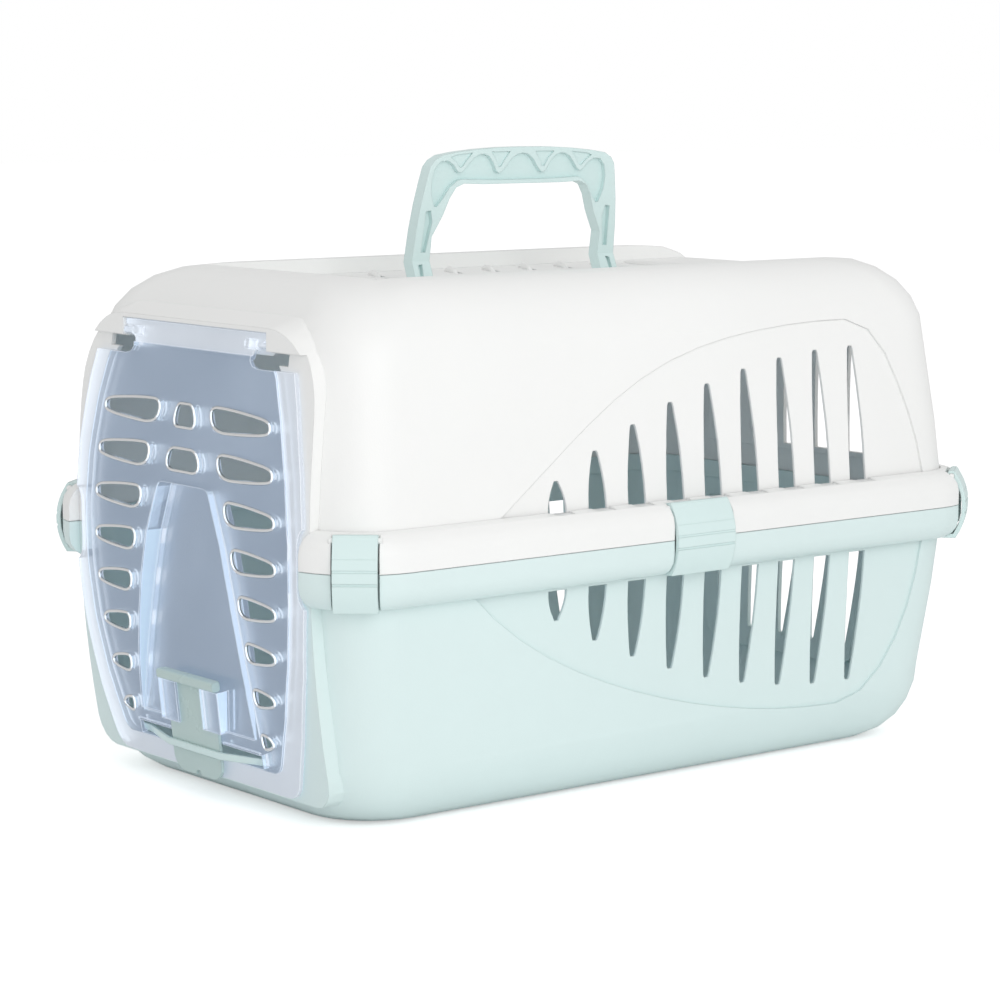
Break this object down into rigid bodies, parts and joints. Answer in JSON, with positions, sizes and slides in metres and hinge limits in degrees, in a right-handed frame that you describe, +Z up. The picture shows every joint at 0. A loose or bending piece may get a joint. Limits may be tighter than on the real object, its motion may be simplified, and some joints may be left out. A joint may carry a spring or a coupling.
{
  "type": "pet carrier",
  "caption": "Plastic pet carrier: white top and pale green base shells clipped at a rim, air slots, clear top-hinged front door with sliding latch, folding carry handle.",
  "frame": {"origin": "middle of the footprint, on the surface the carrier stands on", "axes": "+Z up, -Y towards the door, +X to the right seen from the door, Y along the length"},
  "size_m": [0.3222, 0.4914, 0.3644],
  "materials": {
    "white_plastic": "fine matt texture",
    "mint_plastic": "fine matt texture",
    "clear_plastic": "clear moulded plastic with a slight blue cast",
    "grey_green_plastic": "satin",
    "trim_plastic": "satin"
  },
  "bodies": {
    "carrier": {"top_shell": "white_plastic", "base_shell": "mint_plastic"},
    "door": {"door_panel": "clear_plastic", "latch_spring_bar": "mint_plastic"},
    "latch": {"latch_slider": "grey_green_plastic"},
    "handle": {"carry_handle": "trim_plastic"},
    "clip_front_right": {"clip_front_right": "trim_plastic"},
    "clip_rear_right": {"clip_rear_right": "trim_plastic"},
    "clip_side_right": {"clip_side_right": "trim_plastic"},
    "clip_front_left": {"clip_front_left": "trim_plastic"},
    "clip_rear_left": {"clip_rear_left": "trim_plastic"},
    "clip_side_left": {"clip_side_left": "trim_plastic"}
  },
  "joints": [
    {"name": "door_hinge", "type": "hinge", "parent": "carrier", "child": "door", "pos_m": [0, -0.231, 0.262], "axis": [-1, 0, 0], "range_deg": [0, 110]},
    {"name": "latch_slide", "type": "slide", "parent": "door", "child": "latch", "axis": [0, -0.1097, 0.994], "range_m": [0, 0.009]},
    {"name": "handle_hinge", "type": "hinge", "parent": "carrier", "child": "handle", "pos_m": [0, -0.0033, 0.282], "axis": [0, 1, 0], "range_deg": [-66, 75]},
    {"name": "clip_front_right_hinge", "type": "hinge", "parent": "carrier", "child": "clip_front_right", "pos_m": [0.14276, -0.22539, 0.164], "axis": [-0.6428, -0.766, 0], "range_deg": [0, 95]},
    {"name": "clip_rear_right_hinge", "type": "hinge", "parent": "carrier", "child": "clip_rear_right", "pos_m": [0.14276, 0.22539, 0.164], "axis": [0.6428, -0.766, 0], "range_deg": [0, 95]},
    {"name": "clip_side_right_hinge", "type": "hinge", "parent": "carrier", "child": "clip_side_right", "pos_m": [0.152, 0.0065, 0.164], "axis": [0, -1, 0], "range_deg": [0, 95]},
    {"name": "clip_front_left_hinge", "type": "hinge", "parent": "carrier", "child": "clip_front_left", "pos_m": [-0.14276, -0.22539, 0.164], "axis": [-0.6428, 0.766, 0], "range_deg": [0, 95]},
    {"name": "clip_rear_left_hinge", "type": "hinge", "parent": "carrier", "child": "clip_rear_left", "pos_m": [-0.14276, 0.22539, 0.164], "axis": [0.6428, 0.766, 0], "range_deg": [0, 95]},
    {"name": "clip_side_left_hinge", "type": "hinge", "parent": "carrier", "child": "clip_side_left", "pos_m": [-0.152, 0.0065, 0.164], "axis": [0, 1, 0], "range_deg": [0, 95]}
  ]
}
